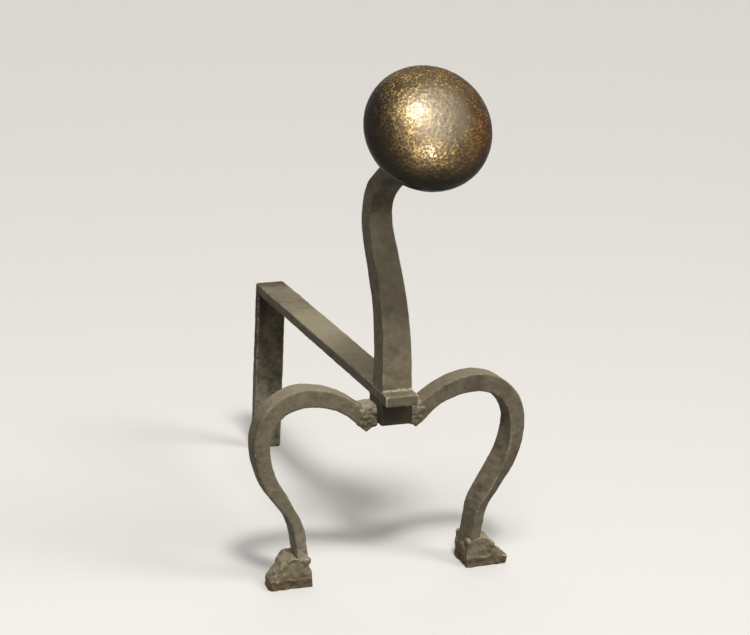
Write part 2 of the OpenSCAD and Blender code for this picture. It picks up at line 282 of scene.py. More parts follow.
def over(tree, below, colour, amount):
    """Lays a colour over another by this amount."""
    mix = tree.nodes.new("ShaderNodeMix")
    mix.data_type = "RGBA"
    plug(tree, mix.inputs[0], amount)
    plug(tree, mix.inputs[6], below)
    plug(tree, mix.inputs[7], colour)
    return mix.outputs[2]


def faces_up(tree):
    """How far a surface faces up, from -1 to 1."""
    geometry = tree.nodes.new("ShaderNodeNewGeometry")
    split = tree.nodes.new("ShaderNodeSeparateXYZ")
    tree.links.new(geometry.outputs["Normal"], split.inputs[0])
    return split.outputs["Z"]


def place_along(tree, axis):
    """Where a point is along X, Y or Z, in metres."""
    place = tree.nodes.new("ShaderNodeTexCoord")
    split = tree.nodes.new("ShaderNodeSeparateXYZ")
    tree.links.new(place.outputs["Object"], split.inputs[0])
    return split.outputs[axis]


def stored(tree, name):
    """A value that the mesh keeps at each of its points."""
    kept = tree.nodes.new("ShaderNodeAttribute")
    kept.attribute_name = name
    return kept.outputs["Fac"]


def bump(tree, height, depth, below=None):
    """A bump of this depth in metres, on top of another bump."""
    node = tree.nodes.new("ShaderNodeBump")
    node.inputs["Strength"].default_value = 1.0
    node.inputs["Distance"].default_value = depth
    tree.links.new(height, node.inputs["Height"])
    if below is not None:
        tree.links.new(below, node.inputs["Normal"])
    return node.outputs["Normal"]


def new_material(name):
    """A node material, its tree and its shader."""
    material = bpy.data.materials.new(name)
    material.use_nodes = True
    tree = material.node_tree
    return material, tree, tree.nodes["Principled BSDF"]


def shaded(colour, tone):
    """A colour made darker or lighter."""
    return (*(tone * part for part in colour[:3]), 1)


def forged_iron(name, tone=1.0, dust=0.5, rust=0.15, rust_top=None, blacked=0.4, dust_and_light_band=None,
                soot_and_shade=None, scuff_and_light=None):
    """Brown oxide with thin black scale, ash dust on what faces up, rust blooms, bright arrises.
    The dust band gives where along Y the dust begins and where it ends; there it is also painted
    light. The black band gives an axis and where on it the black begins and is full; it is
    blackening by the fire and also painted shade. The rub heights give where rubbing is full and
    where it ends;
    low on the log bar this is painted light. And rust_top is the height that rust from the floor
    reaches."""
    material, tree, shader = new_material(name)
    mottle = noise(tree, 48, 7, 0.65)
    patches = noise(tree, 150, 5, 0.6, 0.3)
    grain = noise(tree, 1150, 3, 0.7)
    colour = over(tree, shaded(IRON_BROWN, tone), shaded(OXIDE_GREY, tone),
                  between(tree, patches, 0.36, 0.66, 0.0, 0.75))
    colour = over(tree, colour, SCALE_BLACK_AND_SHADE, between(tree, mottle, 0.48, 0.68, 0.0, blacked))
    dust_with_light = times(tree, between(tree, faces_up(tree), 0.30, 0.95), dust)
    # Along Y the dust is also painted light: full over the log bar's lit middle, thin at its front
    # where the knob's shadow falls, and thinner towards its back.
    if dust_and_light_band is not None:
        begins, ends = dust_and_light_band
        along = place_along(tree, "Y")
        dust_with_light = times(tree, dust_with_light, between(tree, along, *begins, 0.3, 1.0))
        dust_with_light = times(tree, dust_with_light, between(tree, along, *ends, 1.0, 0.1))
    colour = over(tree, colour, ASH_DUST_AND_LIGHT, dust_with_light)
    blooms = times(tree, between(tree, noise(tree, 95, 6, 0.65), 0.50, 0.68), rust)
    colour = over(tree, colour, RUST, blooms)
    # Painted shade as well as soot: on the log bar it darkens the rear leg, which the bar shades,
    # and on the stem it darkens the crook under the knob.
    if soot_and_shade is not None:
        axis, start, end = soot_and_shade
        soot_and_shade_mask = times(tree, between(tree, place_along(tree, axis), start, end),
                     between(tree, mottle, 0.36, 0.56, 0.35, 0.9))
        colour = over(tree, colour, SCALE_BLACK_AND_SHADE, soot_and_shade_mask)
    # The pale rubbed colour low down is wear on the left leg and on the welds; on the log bar it
    # is painted light, where light reaches the rear leg's foot past the bar's shadow.
    if scuff_and_light is not None:
        rubbed = times(tree, between(tree, place_along(tree, "Z"), *scuff_and_light, 1.0, 0.0),
                       between(tree, patches, 0.3, 0.6, 0.1, 0.55))
        colour = over(tree, colour, RUBBED_AND_LIT, rubbed)
    if rust_top is not None:
        low = between(tree, place_along(tree, "Z"), rust_top * 0.5, rust_top, 1.0, 0.0)
        damp = between(tree, patches, 0.30, 0.60, 0.35, 0.85)
        colour = over(tree, colour, RUST, times(tree, low, damp))
    colour = over(tree, colour, SCALE_BLACK_AND_SHADE, between(tree, grain, 0.56, 0.80, 0.0, 0.5))
    relief = stored(tree, "relief")
    hollow = between(tree, relief, -0.26 * MM, -0.05 * MM, 0.7, 0.0)
    colour = over(tree, colour, SCALE_BLACK_AND_SHADE, hollow)
    worn = times(tree, between(tree, relief, 0.10 * MM, 0.27 * MM),
                 between(tree, patches, 0.34, 0.60, 0.25, 0.95))
    colour = over(tree, colour, RUBBED_AND_LIT, worn)
    plug(tree, shader.inputs["Base Color"], colour)
    plug(tree, shader.inputs["Metallic"], 0.03)
    plug(tree, shader.inputs["Specular IOR Level"], 0.12)
    plug(tree, shader.inputs["Roughness"], between(tree, patches, 0.30, 0.70, 0.58, 0.80))
    skin = bump(tree, noise(tree, 420, 5, 0.65), 0.30 * MM)
    plug(tree, shader.inputs["Normal"], bump(tree, grain, 0.14 * MM, skin))
    return material


# The rear leg leans back from the fold, and the fold's mitre lies on both middle lines
bar_mid_z = bar_high.z - BAR_T / 2
lean = math.degrees(math.atan2(REAR_SPLAY, bar_high.z))
rear_corner = bar_high.y - REAR_SPLAY
fold_back = BAR_T / 2 * (1 - math.sin(math.radians(lean))) / math.cos(math.radians(lean))
over_run = rear_corner - fold_back - bar_low.y - NOSE_RUN
bar_size = (BAR_W, BAR_T, 0)
log_bar = draw_out(
    "log_bar_forged", "X", (0, bar_low.y, bar_mid_z), 90, (BAR_W * NOSE_FLARE, BAR_T, 0),
    [(NOSE_RUN, 0, *bar_size), (over_run, 0, *bar_size), (0, 90 - lean, *bar_size),
     (bar_high.z + BAR_T, 0, *bar_size)])
cut_off(log_bar, (0, 0, 0), (0, 0, 1))
round_arrises(log_bar, BAR_ARRIS)
hammer_surface(log_bar, *BAR_SKIN)
# The log bar's dust band, the black on its rear leg and the rubbed colour low on that leg are
# partly painted light and painted shade.
log_bar.data.materials.append(forged_iron(
    "log bar iron, painted light and shade", tone=0.9, dust=0.7, blacked=0.5, dust_and_light_band=((-0.06, 0.0), (0.09, 0.14)),
    soot_and_shade=("Y", 0.185, 0.210), scuff_and_light=(0.03, 0.12)))
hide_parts("log_bar")
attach(log_bar, "root")


# ---------------------------------------------------------------------------------------------
# Stem: an inch-square bar drawn down evenly to its tip, bowed back over the horn, then crooked
# forwards and up to meet the knob. Its foot stands on the log bar, welded in front and behind.

block_low, block_high = (Vector(corner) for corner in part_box("centre_block"))
STEM_FOOT_W = 26 * MM
STEM_TIP_W = 18 * MM
STEM_FOOT_T = 25 * MM
STEM_TIP_T = 12 * MM
STEM_ARRIS = 0.9 * MM
STEM_SKIN = (0.8 * MM, 0.9 * MM, 0.25 * MM)
SEAT_DEPTH = 1.5 * MM
# The stem's tip leans forwards by this, and the knob sits square on it
KNOB_LEAN = math.radians(55)


def bend(radius, turn):
    """One bend of a schedule: the length of bar that it takes up, and its angle."""
    return radius * math.radians(abs(turn)), turn


stem_schedule = [(21 * MM, 0), bend(124 * MM, 32), (36 * MM, 0), bend(33 * MM, -87), (86 * MM, 0)]
stem_length = sum(length for length, turn in stem_schedule)
stem_steps = [(SEAT_DEPTH, 0, STEM_FOOT_W, STEM_FOOT_T, 0)]
gone = 0
for length, turn in stem_schedule:
    gone += length
    thick = STEM_FOOT_T + (STEM_TIP_T - STEM_FOOT_T) * gone / stem_length
    stem_steps.append((length, turn, STEM_FOOT_W, thick, 0))
stem_y = block_low.y + STEM_FOOT_T / 2
stem = draw_out("stem_forged", "X", (0, stem_y, bar_high.z - SEAT_DEPTH), 0,
                (STEM_FOOT_W, STEM_FOOT_T, 0), stem_steps)
tip_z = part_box("stem")[1][2] - STEM_TIP_T / 2 * math.sin(KNOB_LEAN)
for corner in stem.data.vertices:
    share = (corner.co.z - bar_high.z) / (tip_z - bar_high.z)
    corner.co.x *= 1 + (STEM_TIP_W / STEM_FOOT_W - 1) * share
round_arrises(stem, STEM_ARRIS)
hammer_surface(stem, *STEM_SKIN)
# Its tone of 1.1 is painted light that makes up for the knob's shadow on the stem, and the black
# over its crook is painted shade under the knob.
stem.data.materials.append(forged_iron("stem iron, painted light and shade", tone=1.1, soot_and_shade=("Z", 0.295, 0.355)))
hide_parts("stem")
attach(stem, "root")


# ---------------------------------------------------------------------------------------------
# Centre block: a short smooth piece of bar under the front end of the log bar. Its colour is
# painted shade, darker than the rest, for the shadow under the bar's end. The legs are welded to
# its two sides.

BLOCK_ARRIS = 1.0 * MM
BLOCK_SKIN = (0.6 * MM, 0.5 * MM, 0.12 * MM)

bpy.ops.object.select_all(action="DESELECT")
bpy.ops.mesh.primitive_cube_add(size=1, location=(block_low + block_high) / 2,
                                scale=block_high - block_low)
block = bpy.context.object
block.name = "centre_block_forged"
bpy.ops.object.transform_apply(location=True, rotation=True, scale=True)
round_arrises(block, BLOCK_ARRIS)
hammer_surface(block, *BLOCK_SKIN)
# The low tone and heavy black are painted shade under the log bar's end.
block.data.materials.append(forged_iron("block iron, painted shade", tone=0.45, dust=0.3, rust=0.3, blacked=0.7))
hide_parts("centre_block")
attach(block, "root")


# ---------------------------------------------------------------------------------------------
# Legs: two bars on edge, upset at the block, bent over a hump and out to the side, then swept in
# again and drawn down to a thin ankle. Both follow one bending schedule, turned opposite ways.

leg_low, leg_high = (Vector(corner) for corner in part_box("left_leg"))
LEG_END_X = -leg_high.x
LEG_DEPTH = leg_high.y - leg_low.y
LEG_ARRIS = 1.3 * MM
LEG_SKIN = (0.8 * MM, 1.2 * MM, 0.35 * MM)
LEG_DROP = 17 * MM
LEG_END_BITE = 1 * MM
LEG_FOOT_Z = 8 * MM
NECK_SLOPE = 38
END_T, NECK_T, HUMP_T, SIDE_T, CALF_T, ANKLE_T = (mm * MM for mm in (16, 13.5, 16, 14, 13, 10))
CALF_TWIST = {"left": 0, "right": 32}
LEG_IRON = {"left": forged_iron("left leg iron", scuff_and_light=(0.022, 0.062)),
            "right": forged_iron("right leg iron", tone=0.9, blacked=0.5)}
leg_y = (leg_low.y + leg_high.y) / 2
neck_z = bar_high.z - BAR_T - LEG_DROP
slope = math.radians(NECK_SLOPE)
leg_start = Vector((LEG_END_X - END_T * math.cos(slope), leg_y, neck_z - END_T * math.sin(slope)))
# Each step also gives the thickness at its end, and the share of the calf's twist
leg_schedule = [(END_T, 0, END_T, 0), (15 * MM, 0, NECK_T, 0), (*bend(66 * MM, 38), HUMP_T, 0),
                (*bend(37 * MM, 90), SIDE_T, 0.2), (*bend(76 * MM, 33), CALF_T, 0.9),
                (24 * MM, 0, ANKLE_T, 1), (*bend(50 * MM, -25), ANKLE_T, 0.4),
                (30 * MM, 0, ANKLE_T, 0.4)]

for side, hand in ((-1, "left"), (1, "right")):
    start = Vector((side * leg_start.x, leg_start.y, leg_start.z))
    twist = CALF_TWIST[hand]
    steps = [(length, side * turn, LEG_DEPTH, thick, share * twist)
             for length, turn, thick, share in leg_schedule]
    leg = draw_out(hand + "_leg_forged", "Y", start, side * (90 - NECK_SLOPE),
                   (LEG_DEPTH, END_T, 0), steps)
    cut_off(leg, (side * (LEG_END_X - LEG_END_BITE), 0, 0), (side, 0, 0))
    cut_off(leg, (0, 0, LEG_FOOT_Z), (0, 0, 1))
    round_arrises(leg, LEG_ARRIS)
    hammer_surface(leg, *LEG_SKIN)
    leg.data.materials.append(LEG_IRON[hand])
    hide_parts(hand + "_leg")
    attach(leg, "root")


# ---------------------------------------------------------------------------------------------
# Feet: each is a stub of bar with its end folded over and hammered down on its own sole, so it
# slopes to the toe, with a faint seam. They are the roughest pieces, and rusty near the floor.

foot_low, foot_high = (Vector(corner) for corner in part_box("right_foot"))
FOOT_H = foot_high.z
SOLE_T = 8 * MM
TOE_DEPTH = 16 * MM
FRONT_PROUD = 1.5 * MM
FRONT_SLOPE = 3.3 * MM
SOLE_STEP = 1 * MM
TAPER_FROM = 13 * MM
FOOT_CUTS = 11
FOOT_GRAIN = 0.6 * MM
FOOT_PASSES = 5
FOOT_IRON = forged_iron("foot iron", dust=0.9, rust=0.35, rust_top=13 * MM)
FOOT_CHIPS = bpy.data.textures.new("foot chips", "VORONOI")
FOOT_CHIPS.noise_scale = 7 * MM
FOOT_LUMPS = clouds("foot lumps", 9 * MM)
FOOT_LUMP_DEPTH = 3.6 * MM
FOOT_CHIP_DEPTH = 1.8 * MM
FOOT_PIT_DEPTH = 0.5 * MM
# The foot's outline from the front: how far out from its heel, and how high, in millimetres
FOOT_LINE = [(0, 13), (2.5, 23), (16, 25), (21, 23), (30, 13), (35, 9)]


def box_between(low, high):
    """A cube stretched between two corners, with its place in its mesh."""
    bpy.ops.object.select_all(action="DESELECT")
    bpy.ops.mesh.primitive_cube_add(size=1, location=(low + high) / 2, scale=high - low)
    bpy.ops.object.transform_apply(location=True, rotation=True, scale=True)
    return bpy.context.object


def join(name, pieces):
    """Joins pieces into the first one."""
    bpy.ops.object.select_all(action="DESELECT")
    for piece in pieces:
        piece.select_set(True)
    bpy.context.view_layer.objects.active = pieces[0]
    bpy.ops.object.join()
    pieces[0].name = name
    return pieces[0]


def outline_height(out):
    """How high the foot's outline stands at a distance out from its heel."""
    for (near, low), (far, high) in zip(FOOT_LINE, FOOT_LINE[1:]):
        if out <= far * MM:
            return (low + (high - low) * (out / MM - near) / (far - near)) * MM
    return FOOT_LINE[-1][1] * MM


inner, outer = foot_low.x, foot_high.x
front, back = foot_low.y - FRONT_PROUD, foot_high.y
for side, hand in ((-1, "left"), (1, "right")):
    sole = box_between(Vector((inner, front, 0)), Vector((outer, back, SOLE_T)))
    upper = box_between(Vector((inner, front, SOLE_T / 2)),
                        Vector((outer - SOLE_STEP, back, FOOT_H)))
    bpy.ops.object.mode_set(mode="EDIT")
    bpy.ops.mesh.select_all(action="SELECT")
    bpy.ops.mesh.subdivide(number_cuts=FOOT_CUTS)
    bpy.ops.object.mode_set(mode="OBJECT")
    for corner in upper.data.vertices:
        share = (corner.co.z - SOLE_T / 2) / (FOOT_H - SOLE_T / 2)
        rise = outline_height(corner.co.x - inner) - SOLE_T / 2
        corner.co.z = SOLE_T / 2 + share * rise
        corner.co.y += (back - corner.co.y) / (back - front) * share * FRONT_SLOPE
    foot = join(hand + "_foot_forged", [sole, upper])
    taper_x = inner + TAPER_FROM
    for corner in foot.data.vertices:
        out = max(0, (corner.co.x - taper_x) / (outer - taper_x))
        depth = 1 + (TOE_DEPTH / (back - front) - 1) * out
        corner.co.y = front + (corner.co.y - front) * depth
        corner.co.x *= side
    face_outwards(foot)
    remesh(foot, FOOT_GRAIN, FOOT_PASSES)
    displace(foot, FOOT_LUMPS, FOOT_LUMP_DEPTH)
    displace(foot, FOOT_CHIPS, FOOT_CHIP_DEPTH)
    displace(foot, SCALE_PITS, FOOT_PIT_DEPTH, PITS_SUNK)
    keep_relief(foot)
    foot.data.materials.append(FOOT_IRON)
    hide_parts(hand + "_foot")
    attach(foot, "root")


# ---------------------------------------------------------------------------------------------
# Welds: overlapping puddles heaped over the legs' ends, and laid in rows along the stem's foot,
# between the block and the log bar, and round the ankles. They were never dressed, and have
# rusted brown below.

WELD_IRON = forged_iron("weld iron", dust=1.0, rust=0.8, blacked=0.5, scuff_and_light=(0.153, 0.139))
WELD_LUMPS = clouds("weld lumps", 3.5 * MM)
WELD_GRAIN = 0.45 * MM
WELD_PASSES = 10
BEAD_LUMP_DEPTH = 1.2 * MM
HEAP_LUMP_DEPTH = 2.0 * MM
WELD_PIT_DEPTH = 0.6 * MM
WELD_PITS_SUNK = 0.6
PUDDLE_PITCH = 3.2 * MM
# A puddle's slip out of place and its least and greatest size, as shares of its bead's radius
PUDDLE_SLIP = 0.2
PUDDLE_SIZES = (0.70, 0.98)
STEM_BEAD_R = 2.4 * MM
BLOCK_BEAD_R = 2.2 * MM
BEAD_STOP = 2 * MM
# The heap on a leg's end: a fill that saddles bar and leg, drops over its front, and a bead
# behind. The drops lie between two distances out in millimetres, inside the fill's edges.
SADDLE_DROP = 5 * MM
FILL_BITE = 1 * MM
FILL_INSET = 0.3 * MM
FRONT_DROPS = 64
DROP_OUT = (14.5, 27)
DROP_R = 3.6 * MM
DROP_SUNK = 2.4 * MM
DROP_ABOVE_LEG = 3.5 * MM
DROP_UNDER_SADDLE = 3 * MM
DROP_LOWEST = 2 * MM
BACK_BEAD_OUT = 17.5 * MM
BACK_BEAD_R = 3.7 * MM
# The bead round an ankle, sunk into the ankle's faces and the foot's top
HEEL_STEP = 2.5 * MM
ANKLE_BEAD_R = 3.5 * MM
ANKLE_BITE = 1 * MM
ANKLE_SUNK = 2.6 * MM
ANKLE_BEAD_DROP = 5 * MM


def puddle(place, radius, draw):
    """One drop of weld metal, a little out of place."""
    slip = Vector([draw.uniform(-PUDDLE_SLIP, PUDDLE_SLIP) * radius for _ in range(3)])
    bpy.ops.object.select_all(action="DESELECT")
    bpy.ops.mesh.primitive_uv_sphere_add(segments=20, ring_count=12, location=place + slip,
                                         radius=radius * draw.uniform(*PUDDLE_SIZES))
    bpy.ops.object.transform_apply(location=True, rotation=True, scale=True)
    return bpy.context.object


def puddles(seams, draw):
    """Drops in rows along seams, each seam a start, an end and a bead radius."""
    drops = []
    for start, end, radius in seams:
        count = max(2, round((end - start).length / PUDDLE_PITCH))
        drops += [puddle(start.lerp(end, i / count), radius, draw) for i in range(count + 1)]
    return drops


def finish_weld(name, drops, node, lumps=BEAD_LUMP_DEPTH):
    """Runs the puddles together into one weld, and puts it on the andiron."""
    weld = join(name, drops)
    remesh(weld, WELD_GRAIN, WELD_PASSES)
    displace(weld, WELD_LUMPS, lumps)
    displace(weld, SCALE_PITS, WELD_PIT_DEPTH, WELD_PITS_SUNK)
    keep_relief(weld)
    weld.data.materials.append(WELD_IRON)
    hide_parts(node)
    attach(weld, "root")


# Where the saddle runs out on the leg, and how low the lowest drops lie
leg_front, leg_back = leg_low.y, leg_high.y
leg_end_rise = END_T / math.cos(slope) / 2
leg_end_low = neck_z - leg_end_rise
saddle_z = bar_high.z - BAR_T - SADDLE_DROP
saddle_x = LEG_END_X + (saddle_z - neck_z - leg_end_rise) / math.tan(slope)
lowest = (block_low.z + neck_z - leg_end_rise) / 2 + DROP_LOWEST
# The ankle's bead runs out along the front, round the outside and in again behind
ankle_x = foot_low.x + HEEL_STEP + ANKLE_T / 2
reach = ANKLE_T / 2 - ANKLE_BITE
bead_z = FOOT_H - ANKLE_BEAD_DROP
bead_front, bead_back = leg_front + ANKLE_SUNK, leg_back - ANKLE_SUNK
draw = random.Random(11)
for side, hand in ((-1, "left"), (1, "right")):
    fill = box_between(Vector((BAR_W / 2 - FILL_BITE, leg_front + FILL_INSET, block_low.z)),
                       Vector((saddle_x, leg_back - FILL_INSET, saddle_z)))
    for corner in fill.data.vertices:
        if corner.co.x > BAR_W / 2:
            above = corner.co.z > neck_z
            corner.co.x = (saddle_x if above else LEG_END_X) + FILL_BITE
            corner.co.z = saddle_z if above else leg_end_low
        corner.co.x *= side
    face_outwards(fill)
    drops = [fill]
    for _ in range(FRONT_DROPS):
        out = draw.uniform(*DROP_OUT) * MM
        least = max(lowest, leg_end_low + (out - LEG_END_X) * math.tan(slope) + DROP_ABOVE_LEG)
        height = draw.uniform(least, saddle_z - DROP_UNDER_SADDLE)
        drops.append(puddle(Vector((side * out, leg_front + DROP_SUNK, height)), DROP_R, draw))
    back_bead = (Vector((side * BACK_BEAD_OUT, leg_back, lowest)),
                 Vector((side * BACK_BEAD_OUT, leg_back, saddle_z - BACK_BEAD_R)), BACK_BEAD_R)
    drops += puddles([back_bead], draw)
    finish_weld(hand + "_leg_weld_beads", drops, hand + "_leg_weld", HEAP_LUMP_DEPTH)

    round_ankle = [Vector((side * x, y, bead_z))
                   for x, y in ((ankle_x - reach, bead_front), (ankle_x + reach, bead_front),
                                (ankle_x + reach, bead_back), (ankle_x - reach, bead_back))]
    seams = [(*pair, ANKLE_BEAD_R) for pair in zip(round_ankle, round_ankle[1:])]
    finish_weld(hand + "_foot_weld_beads", puddles(seams, draw), hand + "_foot_weld")

half = STEM_FOOT_W / 2 - BEAD_STOP
seams = [(Vector((-half, y, bar_high.z)), Vector((half, y, bar_high.z)), STEM_BEAD_R)
         for y in (block_low.y, block_low.y + STEM_FOOT_T)]
finish_weld("stem_weld_beads", puddles(seams, draw), "stem_weld")
half = BAR_W / 2 - BEAD_STOP
seams = [(Vector((-half, y, block_high.z)), Vector((half, y, block_high.z)), BLOCK_BEAD_R)
         for y in (block_low.y, block_high.y)]
finish_weld("block_weld_beads", puddles(seams, draw), "block_weld")


# ---------------------------------------------------------------------------------------------
# Knob: two brass discs raised into domes, brazed rim to rim and planished all over with a small
# ball hammer. The dished marks hold a dark patina, and the ridges between them are rubbed gold.
# It screws down on the stem's tip. Its colour also holds painted reflections and painted shade.

KNOB_R = 51 * MM
CROWN_H = 32 * MM
KNOB_WALL = 1.6 * MM
SEAT_R = 11 * MM
MARK_PITCH = 2.5 * MM
MARK_DEPTH = 0.15 * MM
MISSED_SHARE = 0.32
# How wide a ridge between two marks is and how far a mark's dish reaches, as shares of the pitch
RIDGE_W = 0.42
DISH_R = 0.78
RIM_FADE = 2 * MM
DOME_CUTS = 59
knob_low, knob_high = (Vector(corner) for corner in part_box("knob_front_shell"))
reach_y = math.hypot(KNOB_R * math.cos(KNOB_LEAN), CROWN_H * math.sin(KNOB_LEAN))
reach_z = math.hypot(KNOB_R * math.sin(KNOB_LEAN), CROWN_H * math.cos(KNOB_LEAN))
knob_centre = Vector((0, knob_low.y + reach_y, knob_high.z - reach_z))

BRASS_BLACK = (0.009, 0.006, 0.004, 1)
BRASS_BROWN = (0.138, 0.094, 0.048, 1)
BRASS_WORN_AND_SHEEN = (0.230, 0.195, 0.145, 1)
BRASS_GOLD = (0.520, 0.360, 0.120, 1)
BRASS_AMBER_REFLECTION = (0.360, 0.185, 0.036, 1)
BRASS_RED_REFLECTION = (0.075, 0.026, 0.006, 1)
BRASS_EDGE = (0.12, 0.09, 0.06, 1)


def hammered_brass():
    """Brass under a dark patina, worn through to gold on the ridges between hammer marks, with
    painted
    reflections and shade: black below and to the left, red and amber to the right, grey at the
    crown, and brighter gold towards the top.
    """
    material, tree, shader = new_material("hammered brass, painted reflections")
    fine = noise(tree, 620, 4, 0.7)
    worn = noise(tree, 210, 3, 0.6, 1.2)
    side = place_along(tree, "X")
    colour = over(tree, BRASS_BROWN, BRASS_BLACK,
                  between(tree, noise(tree, 30, 5), 0.40, 0.66, 0.0, 0.5))
    # Painted reflection: red patches towards the knob's right side.
    red_reflection_right = times(tree, between(tree, side, 6 * MM, 40 * MM),
                  between(tree, noise(tree, 75, 5, 0.6), 0.32, 0.58, 0.2, 0.95))
    colour = over(tree, colour, BRASS_RED_REFLECTION, red_reflection_right)
    rubbed = times(tree, between(tree, stored(tree, "ridge"), 0.20, 0.90),
                   between(tree, worn, 0.42, 0.60, 0.0, 1.0))
    # Painted light: the gold threads are brighter where the brass faces up and dimmer where it
    # faces down.
    gold_lit_from_above = between(tree, faces_up(tree), -0.50, 0.60, 0.15, 1.0)
    # Painted reflection: the gold threads turn amber towards the right side.
    thread = over(tree, BRASS_GOLD, BRASS_AMBER_REFLECTION, between(tree, side, 4 * MM, 40 * MM))
    colour = over(tree, colour, thread, times(tree, rubbed, gold_lit_from_above))
    # Wear and painted reflection: the crown is greyer, standing in for the broad grey sheen of the
    # light above.
    crown_wear_and_sheen = between(tree, stored(tree, "crown"), 0.78, 0.99, 0.0, 0.6)
    colour = over(tree, colour, BRASS_WORN_AND_SHEEN, crown_wear_and_sheen)
    # Painted shade and painted reflection: the brass turns black where it faces down.
    below = between(tree, faces_up(tree), -0.55, 0.28, 0.95, 0.0)
    colour = over(tree, colour, BRASS_BLACK, below)
    # Painted reflection: the brass turns black towards its left side.
    left = between(tree, side, -48 * MM, -18 * MM, 0.92, 0.0)
    colour = over(tree, colour, BRASS_BLACK, left)
    plug(tree, shader.inputs["Base Color"], colour)
    plug(tree, shader.inputs["Metallic"], 0.8)
    plug(tree, shader.inputs["Specular Tint"], BRASS_EDGE)
    plug(tree, shader.inputs["Roughness"], between(tree, fine, 0.3, 0.7, 0.36, 0.48))
    plug(tree, shader.inputs["Coat Weight"], 0.2)
    plug(tree, shader.inputs["Coat Roughness"], 0.10)
    plug(tree, shader.inputs["Normal"], bump(tree, fine, 0.10 * MM))
    return material


def hammer_marks(draw):
    """The places that the hammer struck on a dome, in rings from the crown to the rim."""
    blows = [Vector((0, 0, CROWN_H))]
    angle = math.radians(90)
    while angle > 0:
        angle -= MARK_PITCH / math.hypot(KNOB_R * math.sin(angle), CROWN_H * math.cos(angle))
        ring_r = KNOB_R * math.cos(angle)
        count = round(2 * math.pi * ring_r / MARK_PITCH)
        for i in range(count):
            if draw.random() < MISSED_SHARE:
                continue
            turn = 2 * math.pi * (i + draw.uniform(-0.5, 0.5)) / count
            tilt = angle + draw.uniform(-0.5, 0.5) * MARK_PITCH / KNOB_R
            blows.append(Vector((KNOB_R * math.cos(tilt) * math.cos(turn),
                                 KNOB_R * math.cos(tilt) * math.sin(turn),
                                 CROWN_H * math.sin(tilt))))
    return blows


def raise_dome(name, draw):
    """One half of the knob, crown up and rim on the floor plane, with its hammer marks."""
    bpy.ops.object.select_all(action="DESELECT")
    bpy.ops.mesh.primitive_cube_add(size=2, location=(0, 0, 0))
    dome = bpy.context.object
    dome.name = name
    bpy.ops.object.mode_set(mode="EDIT")
    bpy.ops.mesh.select_all(action="SELECT")
    bpy.ops.mesh.subdivide(number_cuts=DOME_CUTS)
    bpy.ops.mesh.subdivide(number_cuts=1)
    bpy.ops.transform.tosphere(value=1)
    bpy.ops.mesh.bisect(plane_co=(0, 0, 0), plane_no=(0, 0, 1), clear_inner=True)
    bpy.ops.object.mode_set(mode="OBJECT")
    ball_r = dome.data.vertices[0].co.length
    bpy.ops.transform.resize(value=(KNOB_R / ball_r, KNOB_R / ball_r, CROWN_H / ball_r))
    bpy.ops.object.transform_apply(location=True, rotation=True, scale=True)
    blows = hammer_marks(draw)
    struck = kdtree.KDTree(len(blows))
    for index, place in enumerate(blows):
        struck.insert(place, index)
    struck.balance()
    crowns = dome.data.attributes.new("crown", "FLOAT", "POINT")
    crowns.data.foreach_set("value", [vertex.co.z / CROWN_H for vertex in dome.data.vertices])
    ridges = dome.data.attributes.new("ridge", "FLOAT", "POINT")
    normals = [vertex.normal.copy() for vertex in dome.data.vertices]
    for vertex, normal in zip(dome.data.vertices, normals):
        (_, _, near), (_, _, next_near) = struck.find_n(vertex.co, 2)
        ridges.data[vertex.index].value = 1 - min(1, (next_near - near) / (RIDGE_W * MARK_PITCH))
        rim = min(1, max(0, vertex.co.z) / RIM_FADE)
        dish = max(0, 1 - (near / (DISH_R * MARK_PITCH)) ** 2)
        vertex.co -= normal * MARK_DEPTH * dish * rim
    return dome


BRASS = hammered_brass()
draw = random.Random(5)
for name, flip in (("knob_front_shell", 0), ("knob_back_shell", math.pi)):
    shell = raise_dome(name + "_hammered", draw)
    if flip:
        seat_z = CROWN_H * math.sqrt(1 - (SEAT_R / KNOB_R) ** 2)
        for vertex in shell.data.vertices:
            vertex.co.z = min(vertex.co.z, seat_z)
    apply_modifier(shell, "SOLIDIFY", thickness=KNOB_WALL, offset=-1)
    bpy.ops.object.select_all(action="DESELECT")
    shell.select_set(True)
    bpy.context.view_layer.objects.active = shell
    shell.rotation_euler = (KNOB_LEAN + flip, 0, 0)
    shell.location = knob_centre
    bpy.ops.object.transform_apply(location=True, rotation=True, scale=True)
    bpy.ops.object.shade_smooth()
    shell.data.materials.append(BRASS)
    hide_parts(name)
    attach(shell, "root")


# ---------------------------------------------------------------------------------------------
# Fittings inside the knob: a turned brass boss with a threaded steel stud through it. Both are
# out of sight once the knob is screwed down, so they keep the plain shapes of the frame.

BOSS_BRASS = (0.6, 0.45, 0.2, 1)
STUD_STEEL = (0.45, 0.45, 0.46, 1)
GROOVE_TONE = 0.6


def turned_metal(name, colour, roughness):
    """Bare metal with the fine rings of a lathe tool."""
    material, tree, shader = new_material(name)
    grooved = over(tree, colour, shaded(colour, GROOVE_TONE),
                   between(tree, noise(tree, 900, 3), 0.4, 0.6))
    plug(tree, shader.inputs["Base Color"], grooved)
    plug(tree, shader.inputs["Metallic"], 1.0)
    plug(tree, shader.inputs["Roughness"], roughness)
    return material


for node, finish in (("knob_boss", turned_metal("turned brass", BOSS_BRASS, 0.3)),
                     ("knob_stud", turned_metal("stud steel", STUD_STEEL, 0.35))):
    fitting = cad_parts[node]
    fitting.data.materials.clear()
    fitting.data.materials.append(finish)


# ---------------------------------------------------------------------------------------------
# Studio: a plain pale floor, a sun high in front with weaker ones from the right and behind, two
# soft boxes for the highlights on the knob, and a wide panel over it for the sheen of its rim.
# The camera stands where the photograph's did.

